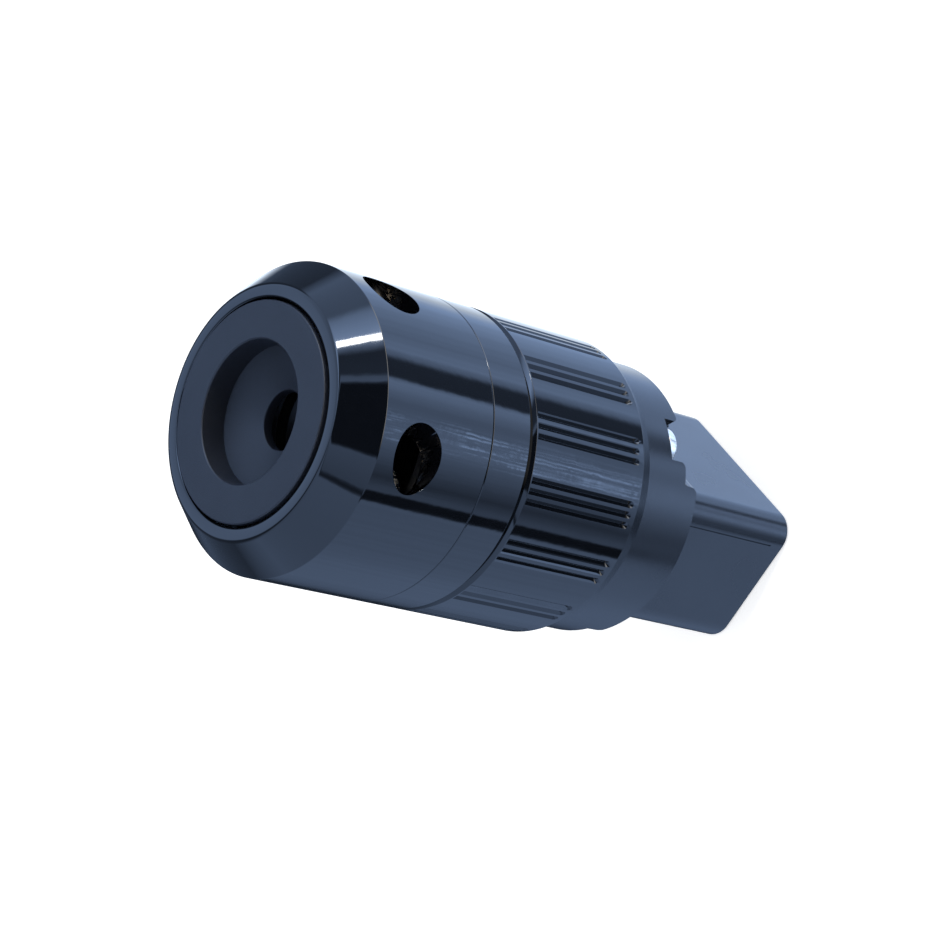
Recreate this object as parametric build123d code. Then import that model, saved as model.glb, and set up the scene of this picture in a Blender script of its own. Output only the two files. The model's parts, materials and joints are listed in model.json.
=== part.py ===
from build123d import *
import os

# A rewireable female power connector for a flexible cord, standing on its mating face.
# Z runs from the mating face (z = 0) to the cable end. X is the long side of the rectangular boss.
# All sizes are in millimetres.

# Lengths along the axis, from the mating face to the cable end
BOSS_LENGTH = 21.1
FLANGE_LENGTH = 9.4
SLEEVE_LENGTH = 22.8
BAND_LENGTH = 6.9
CAP_LENGTH = 22.2

# Clearances
SLIP_FIT = 0.05          # round pieces that slide or turn in one another
LOOSE_FIT = 0.2          # pieces that must never rub
CUT_OVER = 1.0           # how far a cutting tool runs past the surface that it opens

# Outer shell: cap, band and sleeve
BODY_R = 20.0
SHELL_WALL = 2.0
SEAM_CHAMFER = 0.15
COLLAR_GROOVE_HALF = 0.6
COLLAR_GROOVE_DEPTH = 0.8

# Rear cap
RIM_INSET = 3.85         # from the body's side in to the rim
RIM_WIDTH = 1.8
RIM_OUTER_ROUND = 0.7
RIM_INNER_ROUND = 0.4
CAP_BEVEL_LENGTH = 4.65
CAP_EDGE_ROUND = 0.2
CAP_END_WALL = 5.0
CAP_WALL = 3.2           # beside the clamp

# Cable clamp: two jaws and two parallel screws, turned about Z from the boss
CLAMP_ANGLE = 60.0
CLAMP_FROM_BACK = 10.8
CLAMP_THICKNESS = 8.0
CLAMP_SCREW_INSET = 5.65     # from the cap's inner wall in to a clamp screw
CLAMP_SCREW_HOLE_R = 3.67
CLAMP_SEAT_WALL = 0.65       # from a clamp screw's side in to the jaws' seat
CLAMP_RIDGE = 0.5
CLAMP_RIDGE_PITCH = 2.6
CLAMP_TRAVEL = 3.0
JAW_TOP = -1.2
SADDLE_EAR_TOP = 8.4
SADDLE_EAR_OVERHANG = 3.25   # from a clamp screw out to the ear's end
SADDLE_ARCH_WALL = 2.8
CLAMP_SHANK_R = 2.0
CLAMP_SHANK_REACH = 5.7      # from the fixed jaw's top to the screw's tip
CLAMP_HEAD_R = 3.3
CLAMP_HEAD_HEIGHT = 2.2
CLAMP_NUT_WIDTH = 6.8
CLAMP_NUT_THICKNESS = 3.0
CLAMP_NUT_BELOW = 2.7        # from the fixed jaw's top to the nut

# Entry bush and reducer in the cap's mouth
BUSH_GAP = 0.3
BUSH_LIP = 4.95          # width of the bush's face
BUSH_PROUD = 0.3
BUSH_BORE_DEPTH = 3.6
BUSH_EDGE_ROUND = 0.15
REDUCER_SEAT = 2.3       # width of the bush's ledge that the reducer sits on
REDUCER_HOLE_R = 3.8
REDUCER_DISH = 2.1

# Grip sleeve
SLEEVE_OVERHANG = 0.15   # how far the sleeve's nose stands proud of the flange
SLEEVE_BEVEL_LENGTH = 2.8
SLEEVE_LIP_LENGTH = 2.5
FLUTE_GROUPS = 15
FLUTES_PER_GROUP = 3
FLUTE_STEP = 3.95        # degrees from one flute to the next in a group
FLUTE_WIDTH = 0.87
FLUTE_DEPTH = 0.9
FLUTE_BACK_LAND = 0.2
FLUTE_FRONT_LAND = 0.85

# Nose insulator: flange, boss and pin slots
FLANGE_INSET = 1.6       # from the body's side in to the flange's
FLANGE_EDGE = 0.3
SPIGOT_STEP = 1.4
PLATEAU_MARGIN = 1.9     # from the boss's side out to the plateau's edge
LAND_STEP = 2.5
PLATEAU_EDGE_ROUND = 1.2
LAND_CORNER_ROUND = 0.8
BOSS_WIDTH = 28.5
BOSS_HEIGHT = 20.4
BOSS_CORNER_R = 3.3
BOSS_EDGE_ROUND = 0.4
PARTING_LINE_WIDTH = 0.3
PARTING_LINE_DEPTH = 0.15
PARTING_LINE_END = 2.5   # from the mating face to the end of the parting line
SCREW_POCKET_R = 3.0
SCREW_POCKET_DEPTH = 5.05
SCREW_POCKET_ROUND = 0.8
SCREW_POCKET_MOUTH = 1.8     # how far in from the flange's side that rounding goes
PIN_SPACING = 13.0
PIN_ROW_SPACING = 8.0
SLOT_WIDTH = 6.0
SLOT_HEIGHT = 2.6
SLOT_WALL = 2.2
SLOT_LEAD_IN = 0.5
CHAMBER_WIDTH = 5.9
CHAMBER_HEIGHT = 5.6

# Long screws that draw the flange to the core frame
LONG_SCREW_R = 1.5
LONG_SCREW_INSET = 2.8   # from the flange's side in to a long screw
LONG_SCREW_LENGTH = 26.0
LONG_HEAD_R = 2.75
LONG_HEAD_HEIGHT = 2.4
CROSS_WIDTH = 0.75
CROSS_SPAN = 2.9
CROSS_DEPTH = 1.0
HEAD_SIDE = 0.55         # share of a pan head's height below its dome
HEAD_DOME = 0.35         # share of a pan head's radius that the dome takes in

# Rear insulator and terminals
REAR_INSULATOR_LENGTH = 13.5
TERMINAL_REAR_WALL = 2.5
TERMINAL_HIGH = 6.4      # along the terminal screw
TERMINAL_WIDE = 7.0
WIRE_BORE_R = 2.1
WIRE_BORE_DEPTH = 8.5
WIRE_ENTRY_R = 2.4
TERMINAL_SCREW_R = 1.75
TERMINAL_SCREW_BACK = 4.2    # from the terminal's rear face to its screw
TERMINAL_HEAD_R = 2.9
TERMINAL_HEAD_HEIGHT = 1.8
TERMINAL_SLOT_WIDTH = 0.8
TERMINAL_SLOT_DEPTH = 0.9
PAD_R = 1.5
PAD_THICKNESS = 0.8
PAD_TIP = 1.1            # from the wire's axis to the pad's outer face, screw open
PAD_TRAVEL = 1.4

# Contact leaves
LEAF_WIDTH = 5.4
LEAF_THICKNESS = 0.7
LEAF_BASE = 2.3          # half the distance between the leaves at the terminal
LEAF_PINCH = 1.4
LEAF_MOUTH = 2.1
LEAF_MOUTH_GAP = 1.0     # from the slot wall to the leaf tips
LEAF_MOUTH_LENGTH = 4.5
LEAF_PINCH_LENGTH = 2.5
LEAF_BASE_LENGTH = 6.0

# Core frame, which the cap, band and sleeve are screwed on
CORE_FRONT_LUG = 8.0
CORE_WALL = 2.55
CORE_LUG_R = 3.2

# Planes along the axis
FLANGE_FRONT_Z = BOSS_LENGTH
LAND_Z = FLANGE_FRONT_Z + LAND_STEP
POCKET_Z = FLANGE_FRONT_Z + SCREW_POCKET_DEPTH
FLANGE_BACK_Z = FLANGE_FRONT_Z + FLANGE_LENGTH
TERMINAL_Z = FLANGE_BACK_Z + SLEEVE_LIP_LENGTH
CORE_FRONT_Z = TERMINAL_Z + REAR_INSULATOR_LENGTH
SLEEVE_BACK_Z = FLANGE_BACK_Z + SLEEVE_LENGTH
BAND_BACK_Z = SLEEVE_BACK_Z + BAND_LENGTH
CAP_BACK_Z = BAND_BACK_Z + CAP_LENGTH
CAP_BEVEL_Z = CAP_BACK_Z - CAP_BEVEL_LENGTH
END_WALL_Z = CAP_BACK_Z - CAP_END_WALL
CLAMP_Z = CAP_BACK_Z - CLAMP_FROM_BACK
CLAMP_FRONT_Z = CLAMP_Z - CLAMP_THICKNESS / 2
CLAMP_BACK_Z = CLAMP_Z + CLAMP_THICKNESS / 2
BUSH_FACE_Z = CAP_BACK_Z + BUSH_PROUD
LEDGE_Z = BUSH_FACE_Z - BUSH_BORE_DEPTH

# Radii that follow from the body
SHELL_BORE_R = BODY_R - SHELL_WALL
CAP_CAVITY_R = BODY_R - CAP_WALL
RIM_R = BODY_R - RIM_INSET
RIM_BORE_R = RIM_R - RIM_WIDTH
BUSH_R = RIM_BORE_R - BUSH_GAP
BUSH_BORE_R = BUSH_R - BUSH_LIP
REDUCER_R = BUSH_BORE_R + REDUCER_SEAT
FLANGE_R = BODY_R - FLANGE_INSET
SLEEVE_NOSE_R = FLANGE_R + SLEEVE_OVERHANG
SPIGOT_R = FLANGE_R - SPIGOT_STEP
LONG_SCREW_RADIUS = FLANGE_R - LONG_SCREW_INSET

# Sizes that follow from their neighbours
CORE_R = SHELL_BORE_R - SLIP_FIT
CORE_BORE_R = CORE_R - CORE_WALL
SLEEVE_LIP_R = SPIGOT_R + SLIP_FIT
JAW_R = CAP_CAVITY_R - LOOSE_FIT / 2
PLATEAU_HALF = BOSS_HEIGHT / 2 + PLATEAU_MARGIN
CLAMP_SCREW_SPACING = 2 * (CAP_CAVITY_R - CLAMP_SCREW_INSET)
CLAMP_SEAT_R = CLAMP_SCREW_SPACING / 2 - CLAMP_SHANK_R - CLAMP_SEAT_WALL
SADDLE_EAR_HALF = CLAMP_SCREW_SPACING / 2 + SADDLE_EAR_OVERHANG
CLAMP_HOLE_R = CLAMP_SHANK_R + SLIP_FIT
LONG_SCREW_HOLE_R = LONG_SCREW_R + LOOSE_FIT
SADDLE_BOTTOM = JAW_TOP + CLAMP_TRAVEL + LOOSE_FIT

# The three poles: name, place across the axis, and the way that its terminal screw faces (degrees from +X)
POLES = {
    "line": (-PIN_SPACING / 2, -PIN_ROW_SPACING / 2, 180.0),
    "neutral": (PIN_SPACING / 2, -PIN_ROW_SPACING / 2, 0.0),
    "earth": (0.0, PIN_ROW_SPACING / 2, 90.0),
}


def disc(radius, z_low, z_high):
    """A solid cylinder on the axis."""
    return Pos(0, 0, z_low) * extrude(Circle(radius), z_high - z_low)


def tube(outer_r, inner_r, z_low, z_high):
    """A plain ring on the axis."""
    return Pos(0, 0, z_low) * extrude(Circle(outer_r) - Circle(inner_r), z_high - z_low)


def turned(*points):
    """A solid of revolution about Z from (radius, z) points."""
    return revolve(Plane.XZ * make_face(Polyline(*points, close=True)), Axis.Z)


def rod_along_y(radius, x, y_low, y_high, z):
    """A solid cylinder whose axis is parallel to Y."""
    return Pos(x, y_low, z) * Rot(-90, 0, 0) * extrude(Circle(radius), y_high - y_low)


def in_clamp_frame(shape):
    """Turns a shape drawn with the clamp screws along +Y to the clamp's real direction."""
    return Rot(0, 0, CLAMP_ANGLE - 90) * shape


def ring_edges(solid, radius, z):
    """The circular edges of a solid that have this radius and height."""
    circles = solid.edges().filter_by(GeomType.CIRCLE)
    return [e for e in circles if abs(e.radius - radius) < 1e-4 and abs(e.center().Z - z) < 1e-4]


def long_screw_places():
    """Where the two long screws stand, in the clamp frame."""
    return [(0, LONG_SCREW_RADIUS), (0, -LONG_SCREW_RADIUS)]


def long_screw_holes(radius, z_low, z_high):
    """Cutters for the two long screws."""
    return [in_clamp_frame(Pos(x, y, 0) * disc(radius, z_low, z_high)) for x, y in long_screw_places()]


def rear_cap():
    cap = turned(
        (SHELL_BORE_R, BAND_BACK_Z),
        (BODY_R - SEAM_CHAMFER, BAND_BACK_Z),
        (BODY_R, BAND_BACK_Z + SEAM_CHAMFER),
        (BODY_R, CAP_BEVEL_Z),
        (RIM_R, CAP_BACK_Z),
        (RIM_BORE_R, CAP_BACK_Z),
        (RIM_BORE_R, END_WALL_Z),
        (CAP_CAVITY_R, END_WALL_Z),
        (CAP_CAVITY_R, CLAMP_FRONT_Z + LOOSE_FIT),
        (SHELL_BORE_R, CLAMP_FRONT_Z + LOOSE_FIT),
    )
    cap = fillet(ring_edges(cap, RIM_R, CAP_BACK_Z), RIM_OUTER_ROUND)
    cap = fillet(ring_edges(cap, RIM_BORE_R, CAP_BACK_Z), RIM_INNER_ROUND)
    cap = fillet(ring_edges(cap, BODY_R, CAP_BEVEL_Z), CAP_EDGE_ROUND)
    for x in (-CLAMP_SCREW_SPACING / 2, CLAMP_SCREW_SPACING / 2):
        cap -= in_clamp_frame(rod_along_y(CLAMP_SCREW_HOLE_R, x, SADDLE_EAR_TOP, BODY_R + CUT_OVER, CLAMP_Z))
    return cap


def marking_band():
    return turned(
        (SHELL_BORE_R, SLEEVE_BACK_Z),
        (BODY_R - COLLAR_GROOVE_DEPTH, SLEEVE_BACK_Z),
        (BODY_R, SLEEVE_BACK_Z + COLLAR_GROOVE_HALF),
        (BODY_R, BAND_BACK_Z - SEAM_CHAMFER),
        (BODY_R - SEAM_CHAMFER, BAND_BACK_Z),
        (SHELL_BORE_R, BAND_BACK_Z),
    )


def flute_cutter():
    """One flute on the +X side: square at the collar, rounded at the nose end."""
    z_high = SLEEVE_BACK_Z - COLLAR_GROOVE_HALF - FLUTE_BACK_LAND
    z_low = FLANGE_BACK_Z + SLEEVE_BEVEL_LENGTH + FLUTE_FRONT_LAND + FLUTE_WIDTH / 2
    plane = Plane((BODY_R - FLUTE_DEPTH, 0, 0), x_dir=(0, 1, 0), z_dir=(1, 0, 0))
    outline = Pos(0, (z_low + z_high) / 2) * Rectangle(FLUTE_WIDTH, z_high - z_low)
    outline += Pos(0, z_low) * Circle(FLUTE_WIDTH / 2)
    return extrude(plane * outline, FLUTE_DEPTH + CUT_OVER)


def grip_sleeve():
    sleeve = turned(
        (SLEEVE_LIP_R, FLANGE_BACK_Z),
        (SLEEVE_NOSE_R, FLANGE_BACK_Z),
        (BODY_R, FLANGE_BACK_Z + SLEEVE_BEVEL_LENGTH),
        (BODY_R, SLEEVE_BACK_Z - COLLAR_GROOVE_HALF),
        (BODY_R - COLLAR_GROOVE_DEPTH, SLEEVE_BACK_Z),
        (SHELL_BORE_R, SLEEVE_BACK_Z),
        (SHELL_BORE_R, TERMINAL_Z),
        (SLEEVE_LIP_R, TERMINAL_Z),
    )
    cutters = long_screw_holes(LONG_SCREW_HOLE_R, FLANGE_BACK_Z - CUT_OVER, TERMINAL_Z + CUT_OVER)
    middle = (FLUTES_PER_GROUP - 1) / 2
    for group in range(FLUTE_GROUPS):
        for flute in range(FLUTES_PER_GROUP):
            angle = group * 360 / FLUTE_GROUPS + (flute - middle) * FLUTE_STEP
            cutters.append(Rot(0, 0, angle) * flute_cutter())
    return sleeve - cutters


def flange_blank(z_front):
    """The flange as turned, with its front edge broken."""
    return turned(
        (0, z_front),
        (FLANGE_R - FLANGE_EDGE, z_front),
        (FLANGE_R, z_front + FLANGE_EDGE),
        (FLANGE_R, FLANGE_BACK_Z),
        (0, FLANGE_BACK_Z),
    )


def stepped_bar():
    """The flange's front seen along X: a raised plateau between two lower lands."""
    outline = make_face(Polyline(
        (-BODY_R, FLANGE_BACK_Z),
        (-BODY_R, LAND_Z),
        (-PLATEAU_HALF, LAND_Z),
        (-PLATEAU_HALF, FLANGE_FRONT_Z),
        (PLATEAU_HALF, FLANGE_FRONT_Z),
        (PLATEAU_HALF, LAND_Z),
        (BODY_R, LAND_Z),
        (BODY_R, FLANGE_BACK_Z),
        close=True,
    ))
    for z, radius in ((FLANGE_FRONT_Z, PLATEAU_EDGE_ROUND), (LAND_Z, LAND_CORNER_ROUND)):
        corners = [v for v in outline.vertices() if abs(v.Y - z) < 1e-4 and abs(v.X) < FLANGE_R]
        outline = fillet(corners, radius)
    return extrude(Plane.YZ * outline, BODY_R, both=True)


def flange():
    """The stepped flange, with the lands' outer edges broken as well."""
    land_edge = disc(FLANGE_R + CUT_OVER, LAND_Z - CUT_OVER, LAND_Z + FLANGE_EDGE) - flange_blank(LAND_Z)
    plateau = Pos(0, 0, LAND_Z) * Box(3 * FLANGE_R, 2 * (PLATEAU_HALF + LAND_CORNER_ROUND), FLANGE_LENGTH)
    return (flange_blank(FLANGE_FRONT_Z) & stepped_bar()) - (land_edge - plateau)


def pocket_mouth():
    """Rounds the corners where a pocket meets the land: a slab with a hollow quarter round on each side."""
    half = SCREW_POCKET_R + SCREW_POCKET_ROUND
    height = SCREW_POCKET_ROUND + CUT_OVER
    outline = Pos(0, LAND_Z - CUT_OVER + height / 2) * Rectangle(2 * half, height)
    for side in (-1, 1):
        outline -= Pos(side * half, LAND_Z + SCREW_POCKET_ROUND) * Circle(SCREW_POCKET_ROUND)
    outside = Plane((0, FLANGE_R + CUT_OVER, 0), x_dir=(1, 0, 0), z_dir=(0, -1, 0))
    return extrude(outside * outline, SCREW_POCKET_MOUTH + CUT_OVER)


def screw_pocket():
    """A U-shaped pocket for one long screw's head, open to the outside, in the clamp frame."""
    reach = FLANGE_R + CUT_OVER - LONG_SCREW_RADIUS
    outline = Circle(SCREW_POCKET_R) + Pos(0, reach / 2) * Rectangle(2 * SCREW_POCKET_R, reach)
    tool = extrude(outline, SCREW_POCKET_DEPTH + CUT_OVER)
    return (Pos(0, LONG_SCREW_RADIUS, FLANGE_FRONT_Z - CUT_OVER) * tool) + pocket_mouth()


def boss():
    """The rounded block that enters the inlet, with a mould's parting line where the corners begin."""
    block = extrude(RectangleRounded(BOSS_WIDTH, BOSS_HEIGHT, BOSS_CORNER_R), FLANGE_FRONT_Z)
    block = fillet(block.faces().sort_by(Axis.Z)[0].edges(), BOSS_EDGE_ROUND)
    line = Box(2 * PARTING_LINE_DEPTH, PARTING_LINE_WIDTH, FLANGE_FRONT_Z - PARTING_LINE_END)
    height = BOSS_HEIGHT / 2 - BOSS_CORNER_R - PARTING_LINE_WIDTH / 2
    for side in (-1, 1):
        block -= Pos(side * BOSS_WIDTH / 2, height, (FLANGE_FRONT_Z + PARTING_LINE_END) / 2) * line
    return block


def pin_chamber(x, y):
    """The space for one contact, its pin slot and the slot's lead-in."""
    depth = TERMINAL_Z - SLOT_WALL
    chamber = extrude(Rectangle(CHAMBER_WIDTH, CHAMBER_HEIGHT), depth + CUT_OVER)
    slot = Pos(0, 0, -CUT_OVER) * extrude(Rectangle(SLOT_WIDTH, SLOT_HEIGHT), SLOT_WALL + 2 * CUT_OVER)
    wide = Rectangle(SLOT_WIDTH + 2 * SLOT_LEAD_IN, SLOT_HEIGHT + 2 * SLOT_LEAD_IN)
    lead_in = loft([wide, Pos(0, 0, SLOT_LEAD_IN) * Rectangle(SLOT_WIDTH, SLOT_HEIGHT)])
    return Pos(x, y, 0) * (Pos(0, 0, SLOT_WALL) * chamber + slot + lead_in)


def nose_insulator():
    nose = flange() + disc(SPIGOT_R, FLANGE_BACK_Z, TERMINAL_Z) + boss()
    nose -= [in_clamp_frame(Rot(0, 0, turn) * screw_pocket()) for turn in (0, 180)]
    nose -= long_screw_holes(LONG_SCREW_HOLE_R, LAND_Z, TERMINAL_Z + CUT_OVER)
    nose -= [pin_chamber(x, y) for x, y, _ in POLES.values()]
    return nose


def rear_insulator():
    block = disc(SHELL_BORE_R - LOOSE_FIT / 2, TERMINAL_Z, CORE_FRONT_Z)
    block -= long_screw_holes(LONG_SCREW_HOLE_R, TERMINAL_Z - CUT_OVER, CORE_FRONT_Z + CUT_OVER)
    depth = REAR_INSULATOR_LENGTH - TERMINAL_REAR_WALL
    inner = TERMINAL_HIGH / 2 + LOOSE_FIT / 2
    reach = inner + SHELL_BORE_R + CUT_OVER
    for x, y, facing in POLES.values():
        room = Box(reach, TERMINAL_WIDE + LOOSE_FIT, depth + CUT_OVER)
        room = Pos(reach / 2 - inner, 0, TERMINAL_Z + (depth - CUT_OVER) / 2) * room
        block -= Pos(x, y, 0) * Rot(0, 0, facing) * room
        wall_z = CORE_FRONT_Z - TERMINAL_REAR_WALL
        block -= Pos(x, y, 0) * disc(WIRE_ENTRY_R, wall_z - CUT_OVER, CORE_FRONT_Z + CUT_OVER)
    return block


def contact_leaf():
    """The upper spring leaf: straight at the terminal, pinched for the pin, flared at the mouth."""
    z_tip = SLOT_WALL + LEAF_MOUTH_GAP
    z_pinch_low = z_tip + LEAF_MOUTH_LENGTH
    z_pinch_high = z_pinch_low + LEAF_PINCH_LENGTH
    z_straight = TERMINAL_Z - LEAF_BASE_LENGTH
    line = [
        (LEAF_MOUTH, z_tip),
        (LEAF_PINCH, z_pinch_low),
        (LEAF_PINCH, z_pinch_high),
        (LEAF_BASE, z_straight),
        (LEAF_BASE, TERMINAL_Z + CUT_OVER),
    ]
    half = LEAF_THICKNESS / 2
    outline = [(y - half, z) for y, z in line] + [(y + half, z) for y, z in reversed(line)]
    face = Plane.YZ * make_face(Polyline(*outline, close=True))
    return Pos(-LEAF_WIDTH / 2, 0, 0) * extrude(face, LEAF_WIDTH)


def terminal_length():
    return REAR_INSULATOR_LENGTH - TERMINAL_REAR_WALL - LOOSE_FIT


def terminal_screw_z():
    return TERMINAL_Z + terminal_length() - TERMINAL_SCREW_BACK


def contact(x, y, facing):
    length = terminal_length()
    block = Pos(0, 0, TERMINAL_Z) * extrude(Rectangle(TERMINAL_HIGH, TERMINAL_WIDE), length)
    block -= disc(WIRE_BORE_R, TERMINAL_Z + length - WIRE_BORE_DEPTH, TERMINAL_Z + length + CUT_OVER)
    hole = Rot(0, 0, -90) * rod_along_y(TERMINAL_SCREW_R + SLIP_FIT, 0, 0, TERMINAL_HIGH, terminal_screw_z())
    block = Rot(0, 0, facing) * (block - hole)
    leaf = contact_leaf()
    return Pos(x, y, 0) * (block + leaf + mirror(leaf, Plane.XZ))


def terminal_frame(x, y, facing, shape):
    """Places a shape whose +Y is a terminal screw's outward way, with its origin on the wire's axis."""
    return Pos(x, y, terminal_screw_z()) * Rot(0, 0, facing - 90) * shape


def terminal_screw(x, y, facing):
    head_low = TERMINAL_HIGH / 2 + PAD_TRAVEL + LOOSE_FIT
    head_high = head_low + TERMINAL_HEAD_HEIGHT
    screw = rod_along_y(TERMINAL_SCREW_R, 0, PAD_TIP, head_low, 0)
    screw += rod_along_y(TERMINAL_HEAD_R, 0, head_low, head_high, 0)
    slot = Box(3 * TERMINAL_HEAD_R, 2 * TERMINAL_SLOT_DEPTH, TERMINAL_SLOT_WIDTH)
    screw -= Pos(0, head_high, 0) * slot
    return terminal_frame(x, y, facing, screw)


def pressure_pad(x, y, facing):
    pad = rod_along_y(PAD_R, 0, PAD_TIP - PAD_THICKNESS, PAD_TIP, 0)
    return terminal_frame(x, y, facing, pad)


def grip_ridges():
    """Sharp rings that bite into the cable, for both jaws' seats."""
    rings = []
    for step in (-1, 0, 1):
        z = CLAMP_Z + step * CLAMP_RIDGE_PITCH
        rings.append(turned(
            (CLAMP_SEAT_R + CLAMP_RIDGE, z - 2 * CLAMP_RIDGE),
            (CLAMP_SEAT_R - CLAMP_RIDGE, z),
            (CLAMP_SEAT_R + CLAMP_RIDGE, z + 2 * CLAMP_RIDGE),
        ))
    return rings


def clamp_screw_holes():
    """Both clamp screws' holes through the jaws, in the clamp frame."""
    half = CLAMP_SCREW_SPACING / 2
    return [rod_along_y(CLAMP_HOLE_R, x, -BODY_R, BODY_R, CLAMP_Z) for x in (-half, half)]


def half_plane(y_low, y_high, z_low, z_high):
    """A wide slab between two heights of the clamp frame's Y."""
    slab = extrude(Rectangle(3 * BODY_R, y_high - y_low), z_high - z_low)
    return Pos(0, (y_low + y_high) / 2, z_low) * slab


def nut_middle():
    return JAW_TOP - CLAMP_NUT_BELOW - CLAMP_NUT_THICKNESS / 2


def nut_slot(x):
    """A slot in the fixed jaw for one square nut, open to the cable end, in the clamp frame."""
    z_low = CLAMP_Z - CLAMP_NUT_WIDTH / 2
    slot = Rectangle(CLAMP_NUT_WIDTH + SLIP_FIT, CLAMP_NUT_THICKNESS + SLIP_FIT)
    return Pos(x, nut_middle(), z_low) * extrude(slot, CLAMP_BACK_Z - z_low + CUT_OVER)


def fixed_jaw():
    jaw = disc(JAW_R, CLAMP_FRONT_Z, CLAMP_BACK_Z) - disc(CLAMP_SEAT_R, 0, CAP_BACK_Z)
    jaw = (jaw + grip_ridges()) & half_plane(-BODY_R, JAW_TOP, CLAMP_FRONT_Z, CLAMP_BACK_Z)
    half = CLAMP_SCREW_SPACING / 2
    return jaw - clamp_screw_holes() - [nut_slot(-half), nut_slot(half)]


def clamp_nut(x):
    """A square nut held in the fixed jaw."""
    block = Pos(x, nut_middle(), CLAMP_Z) * Box(CLAMP_NUT_WIDTH, CLAMP_NUT_THICKNESS, CLAMP_NUT_WIDTH)
    return in_clamp_frame(block - clamp_screw_holes())


def core_frame():
    core = tube(CORE_R, CORE_BORE_R, CORE_FRONT_Z, CLAMP_FRONT_Z)
    lug_top = CORE_FRONT_Z + CORE_FRONT_LUG
    for x, y in long_screw_places():
        lug = (Pos(x, y, 0) * disc(CORE_LUG_R, CORE_FRONT_Z, lug_top)) & disc(CORE_R, CORE_FRONT_Z, lug_top)
        core += in_clamp_frame(lug)
    core -= long_screw_holes(LONG_SCREW_R + SLIP_FIT, CORE_FRONT_Z - CUT_OVER, lug_top + CUT_OVER)
    return core + in_clamp_frame(fixed_jaw())


def clamp_saddle():
    z_low = CLAMP_FRONT_Z + LOOSE_FIT
    z_high = CLAMP_BACK_Z - LOOSE_FIT
    ears = extrude(Rectangle(2 * SADDLE_EAR_HALF, SADDLE_EAR_TOP - SADDLE_BOTTOM), z_high - z_low)
    ears = Pos(0, (SADDLE_EAR_TOP + SADDLE_BOTTOM) / 2, z_low) * ears
    ears &= disc(JAW_R - LOOSE_FIT, z_low, z_high)
    saddle = ears + disc(CLAMP_SEAT_R + SADDLE_ARCH_WALL, z_low, z_high)
    saddle = (saddle - disc(CLAMP_SEAT_R, z_low - CUT_OVER, z_high + CUT_OVER)) + grip_ridges()
    saddle &= half_plane(SADDLE_BOTTOM, BODY_R, z_low, z_high)
    return in_clamp_frame(saddle - clamp_screw_holes())


def pan_head(radius, height):
    """A domed screw head with a cross recess, standing on z = 0."""
    side = HEAD_SIDE * height
    crown = (1 - HEAD_DOME) * radius
    head = turned((0, 0), (radius, 0), (radius, side), (crown, height), (0, height))
    head = fillet(ring_edges(head, radius, side), side / 2)
    for turn in (0, 90):
        head -= Pos(0, 0, height) * Rot(0, 0, turn) * Box(CROSS_SPAN, CROSS_WIDTH, 2 * CROSS_DEPTH)
    return head


def clamp_screw(x):
    head = Pos(x, SADDLE_EAR_TOP, CLAMP_Z) * Rot(-90, 0, 0) * pan_head(CLAMP_HEAD_R, CLAMP_HEAD_HEIGHT)
    shank = rod_along_y(CLAMP_SHANK_R, x, JAW_TOP - CLAMP_SHANK_REACH, SADDLE_EAR_TOP, CLAMP_Z)
    return in_clamp_frame(head + shank)


def long_screw(side):
    head = Pos(0, 0, POCKET_Z) * Rot(180, 0, 0) * pan_head(LONG_HEAD_R, LONG_HEAD_HEIGHT)
    screw = head + disc(LONG_SCREW_R, POCKET_Z, POCKET_Z + LONG_SCREW_LENGTH)
    return in_clamp_frame(Pos(0, side * LONG_SCREW_RADIUS, 0) * screw)


def entry_bush():
    pocket_r = REDUCER_R + SLIP_FIT
    bush = turned(
        (BUSH_BORE_R, BUSH_FACE_Z),
        (BUSH_R, BUSH_FACE_Z),
        (BUSH_R, END_WALL_Z),
        (JAW_R, END_WALL_Z),
        (JAW_R, CLAMP_BACK_Z),
        (pocket_r, CLAMP_BACK_Z),
        (pocket_r, LEDGE_Z),
        (BUSH_BORE_R, LEDGE_Z),
    )
    rims = ring_edges(bush, BUSH_R, BUSH_FACE_Z) + ring_edges(bush, BUSH_BORE_R, BUSH_FACE_Z)
    return fillet(rims, BUSH_EDGE_ROUND)


def cable_reducer():
    return turned(
        (REDUCER_HOLE_R, LEDGE_Z - REDUCER_DISH),
        (BUSH_BORE_R, LEDGE_Z),
        (REDUCER_R, LEDGE_Z),
        (REDUCER_R, CLAMP_BACK_Z),
        (REDUCER_HOLE_R, CLAMP_BACK_Z),
    )


def all_pieces():
    pieces = {
        "rear_cap": rear_cap(),
        "marking_band": marking_band(),
        "grip_sleeve": grip_sleeve(),
        "nose_insulator": nose_insulator(),
        "rear_insulator": rear_insulator(),
        "core_frame": core_frame(),
        "entry_bush": entry_bush(),
        "cable_reducer": cable_reducer(),
        "clamp_saddle": clamp_saddle(),
        "clamp_nut_left": clamp_nut(-CLAMP_SCREW_SPACING / 2),
        "clamp_nut_right": clamp_nut(CLAMP_SCREW_SPACING / 2),
        "clamp_screw_left": clamp_screw(-CLAMP_SCREW_SPACING / 2),
        "clamp_screw_right": clamp_screw(CLAMP_SCREW_SPACING / 2),
        "assembly_screw_upper": long_screw(1),
        "assembly_screw_lower": long_screw(-1),
    }
    for name, place in POLES.items():
        pieces["contact_" + name] = contact(*place)
        pieces["terminal_screw_" + name] = terminal_screw(*place)
        pieces["pressure_pad_" + name] = pressure_pad(*place)
    return pieces


os.makedirs("parts", exist_ok=True)
for node, solid in all_pieces().items():
    solid.label = node
    export_step(solid, f"parts/{node}.step")
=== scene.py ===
# %% [markdown]
# A rewireable power connector for a cord: a gloss black shell of three rings, a satin black nose that goes
# into an appliance, a matt bush in the cable end, and screws that glint in deep holes and pockets.
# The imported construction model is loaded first, as a fixed frame. Each visible piece is then modelled at its
# place over the solid that it stands for, so nothing has to be fitted afterwards.

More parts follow.
